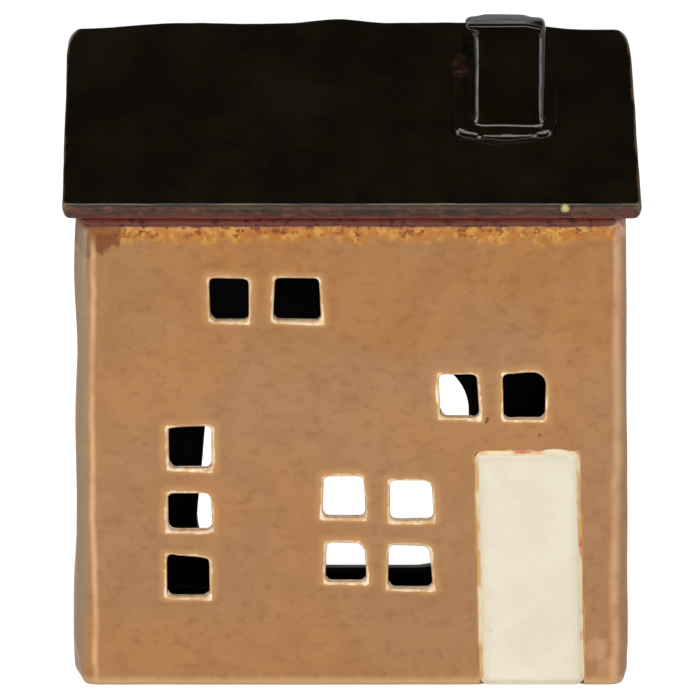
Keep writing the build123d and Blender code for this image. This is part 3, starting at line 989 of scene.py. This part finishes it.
# The tealight: each point of a profile is a radius and a height above the tealight's foot
cup_middle = (cup_low + cup_high) / 2 / mm
cup_floor = cup_low.z / mm
cup_foot = Vector((cup_middle.x, cup_middle.y, cup_floor))
cup_profile = (
    (0, 0.05), (12, 0.0), (16.6, 0.0), (17.5, 0.25), (18.0, 0.9), (18.1, 3), (18.2, 8),
    (18.3, 14.4), (18.6, 14.7), (18.85, 15.0), (18.95, 15.4), (18.85, 15.8), (18.6, 16.0),
    (18.25, 16.0), (18.05, 15.7), (18.02, 14.4), (17.95, 8), (17.85, 3), (17.75, 1.1),
    (17.3, 0.5), (16.6, 0.3), (12, 0.3), (0, 0.3),
)
wax_profile = (
    (0, 0.42), (12, 0.42), (16.4, 0.42), (17.1, 0.7), (17.55, 1.3), (17.7, 3), (17.8, 8),
    (17.9, 12.3), (17.9, 12.85), (17.7, 12.75), (17.2, 12.5), (16.2, 12.36), (12, 12.3),
    (6, 12.32), (3.4, 12.4), (2.0, 12.6), (1.2, 12.95), (0.7, 13.15), (0, 13.2),
)
pleats = 48
steps_per_pleat = 4
pleat_low, pleat_high, pleat_depth = 0.9, 14.4, 0.35
pleat_inner_radius, pleat_radius = 16.5, 18


def lathe(name, profile):
    """A turned piece: its profile of radius and height in mm is drawn by points and spun."""
    (first_radius, first_height), *others = profile
    start = cup_foot + Vector((first_radius, 0, first_height))
    bpy.ops.mesh.primitive_plane_add(size=0.1 * mm, location=start * mm)
    piece = bpy.context.object
    piece.name = name
    bpy.ops.object.transform_apply(location=True, rotation=True, scale=True)
    bpy.ops.object.mode_set(mode="EDIT")
    bpy.ops.mesh.select_all(action="SELECT")
    bpy.ops.mesh.merge(type="CENTER")
    before = (first_radius, first_height)
    for radius, height in others:
        step = Vector((radius - before[0], 0, height - before[1])) * mm
        bpy.ops.mesh.extrude_vertices_move(TRANSFORM_OT_translate={"value": step})
        before = (radius, height)
    bpy.ops.mesh.select_all(action="SELECT")
    bpy.ops.mesh.spin(
        steps=steps_per_pleat * pleats, angle=2 * pi, center=cup_foot * mm, axis=(0, 0, 1)
    )
    bpy.ops.mesh.select_all(action="SELECT")
    bpy.ops.mesh.remove_doubles(threshold=axis_gap)
    bpy.ops.mesh.normals_make_consistent(inside=False)
    bpy.ops.object.mode_set(mode="OBJECT")
    return piece


def pleat(piece):
    """Press upright pleats into a turned wall."""
    points = places(piece) / mm
    across = points[:, 0] - cup_middle.x
    along = points[:, 1] - cup_middle.y
    height = points[:, 2] - cup_floor
    share = np.clip(np.minimum(height - pleat_low, pleat_high - height), 0, 1)
    share = share * np.clip(np.hypot(across, along) - pleat_inner_radius, 0, 1)
    wave = 0.5 + 0.5 * np.cos(pleats * np.arctan2(along, across))
    fold = 1 - pleat_depth * share * wave / pleat_radius
    points[:, 0] = cup_middle.x + across * fold
    points[:, 1] = cup_middle.y + along * fold
    place(piece, points * mm)


# A pleated foil cup, and wax that climbs to the wick
cup = lathe("tealight_cup_pleated", cup_profile)
pleat(cup)
settle(cup, "tealight", "cup_foil", cup_foil(), "tealight_cup")
wax = lathe("tealight_wax_poured", wax_profile)
pleat(wax)
settle(wax, "tealight", "wax", candle_wax(), "tealight_wax")

# The wick is twisted of three strands and leans over at its tip: each strand is drawn upwards
# from a disc beside the middle, in steps that rise and turn
strand_count, strand_sides, strand_steps = 3, 12, 44
strand_radius, strand_aside, strand_foot, strand_rise = 0.34, 0.33, 0.9, 0.4
strand_twist = radians(24)
tip_height, tip_shift, tip_reach = 18.5, (0.5, -0.4, -0.2), 5.5
strands = []
for strand_index in range(strand_count):
    turn = 2 * pi * strand_index / strand_count
    start = cup_foot + Vector((strand_aside * cos(turn), strand_aside * sin(turn), strand_foot))
    bpy.ops.mesh.primitive_circle_add(
        vertices=strand_sides, radius=strand_radius * mm, fill_type="NGON", location=start * mm
    )
    strand = bpy.context.object
    bpy.ops.object.transform_apply(location=True, rotation=True, scale=True)
    bpy.ops.object.mode_set(mode="EDIT")
    bpy.ops.mesh.select_all(action="SELECT")
    for _ in range(strand_steps):
        bpy.ops.mesh.extrude_region_move(
            TRANSFORM_OT_translate={"value": (0, 0, strand_rise * mm)}
        )
        bpy.ops.transform.rotate(
            value=strand_twist, orient_axis="Z", center_override=cup_foot * mm
        )
    bpy.ops.mesh.select_all(action="SELECT")
    bpy.ops.mesh.normals_make_consistent(inside=False)
    bpy.ops.object.mode_set(mode="OBJECT")
    strands.append(strand)
wick = strands[0]
wick.name = "tealight_wick_twisted"
press_on(wick, *strands[1:])
pull(wick, (cup_foot + Vector((0, 0, tip_height)), tip_shift, tip_reach))
settle(wick, "tealight", "wick_cotton", wick_cotton(), "tealight_wick")
nodes["wick_tab"].data.materials.clear()
nodes["wick_tab"].data.materials.append(tab_plate())

# The table that the house stands on is white, ends a little in front of it, and keeps its shadow
table_front = -0.45
table_size = 6.0
table_paint = (0.9, 0.9, 0.9, 1)
table_glow = 0.75
bpy.ops.mesh.primitive_plane_add(
    size=table_size, location=(0, table_front + table_size / 2, 0)
)
table_top = bpy.context.object
table_top.name = "white_table"
bpy.ops.object.transform_apply(location=True, rotation=True, scale=True)
paper = Recipe("white_paper")
paper.constant(
    Base_Color=table_paint,
    Roughness=1.0,
    Specular_IOR_Level=0.0,
    Emission_Color=(1, 1, 1, 1),
)
seen_by_camera = paper.node("ShaderNodeLightPath").outputs["Is Camera Ray"]
paper.wire("Emission Strength", paper.math("MULTIPLY", seen_by_camera, table_glow))
table_top.data.materials.append(paper.material)

# A plain room: white behind the house, pale all round as a light, and dark to its reflections
# overhead and in front
room_light = 0.27
low_glow, high_glow = 0.32, 0.02
glow_from, glow_to = 0.06, 0.4
behind_from, behind_to = -0.35, 0.1
world = bpy.data.worlds.new("plain_room")
world.use_nodes = True
bpy.context.scene.world = world
room = world.node_tree
direction = add_node(room, "ShaderNodeTexCoord").outputs["Generated"]
heading = add_node(room, "ShaderNodeSeparateXYZ", {0: direction}).outputs
light_path = add_node(room, "ShaderNodeLightPath").outputs
glow_inputs = {0: heading["Z"], 1: glow_from, 2: glow_to, 3: low_glow, 4: high_glow}
glow = add_node(room, "ShaderNodeMapRange", glow_inputs).outputs[0]
behind_inputs = {0: heading["Y"], 1: behind_from, 2: behind_to}
behind = add_node(room, "ShaderNodeMapRange", behind_inputs).outputs[0]
mirrored = add_node(
    room, "ShaderNodeMath", {0: glow, 1: behind}, operation="MULTIPLY"
).outputs[0]
soft_inputs = {0: light_path["Is Glossy Ray"], 2: room_light, 3: mirrored}
soft = add_node(room, "ShaderNodeMix", soft_inputs, data_type="FLOAT").outputs[0]
seen_inputs = {0: soft, 1: light_path["Is Camera Ray"]}
seen = add_node(room, "ShaderNodeMath", seen_inputs, operation="MAXIMUM").outputs[0]
room.links.new(seen, room.nodes["Background"].inputs["Strength"])
room.nodes["Background"].inputs["Color"].default_value = (1, 1, 1, 1)


def lamp(name, spot, size, power):
    """A large soft lamp that faces the house."""
    light = bpy.data.lights.new(name, "AREA")
    light.shape = "RECTANGLE"
    light.size, light.size_y = size
    light.energy = power
    lamp_object = bpy.data.objects.new(name, light)
    bpy.context.scene.collection.objects.link(lamp_object)
    lamp_object.location = spot
    aim = camera_target - Vector(spot)
    lamp_object.rotation_euler = aim.to_track_quat("-Z", "Y").to_euler()


# The lamps: where each stands, its width and height in metres, and its power in watts
lamp("left_softbox", (-0.82, -0.7, 0.2), (0.5, 1.0), 5.6)
lamp("right_softbox", (0.82, -0.7, 0.2), (0.6, 1.0), 4.4)
lamp("upper_softbox", (0.0, -1.05, 1.1), (1.3, 0.6), 7.5)
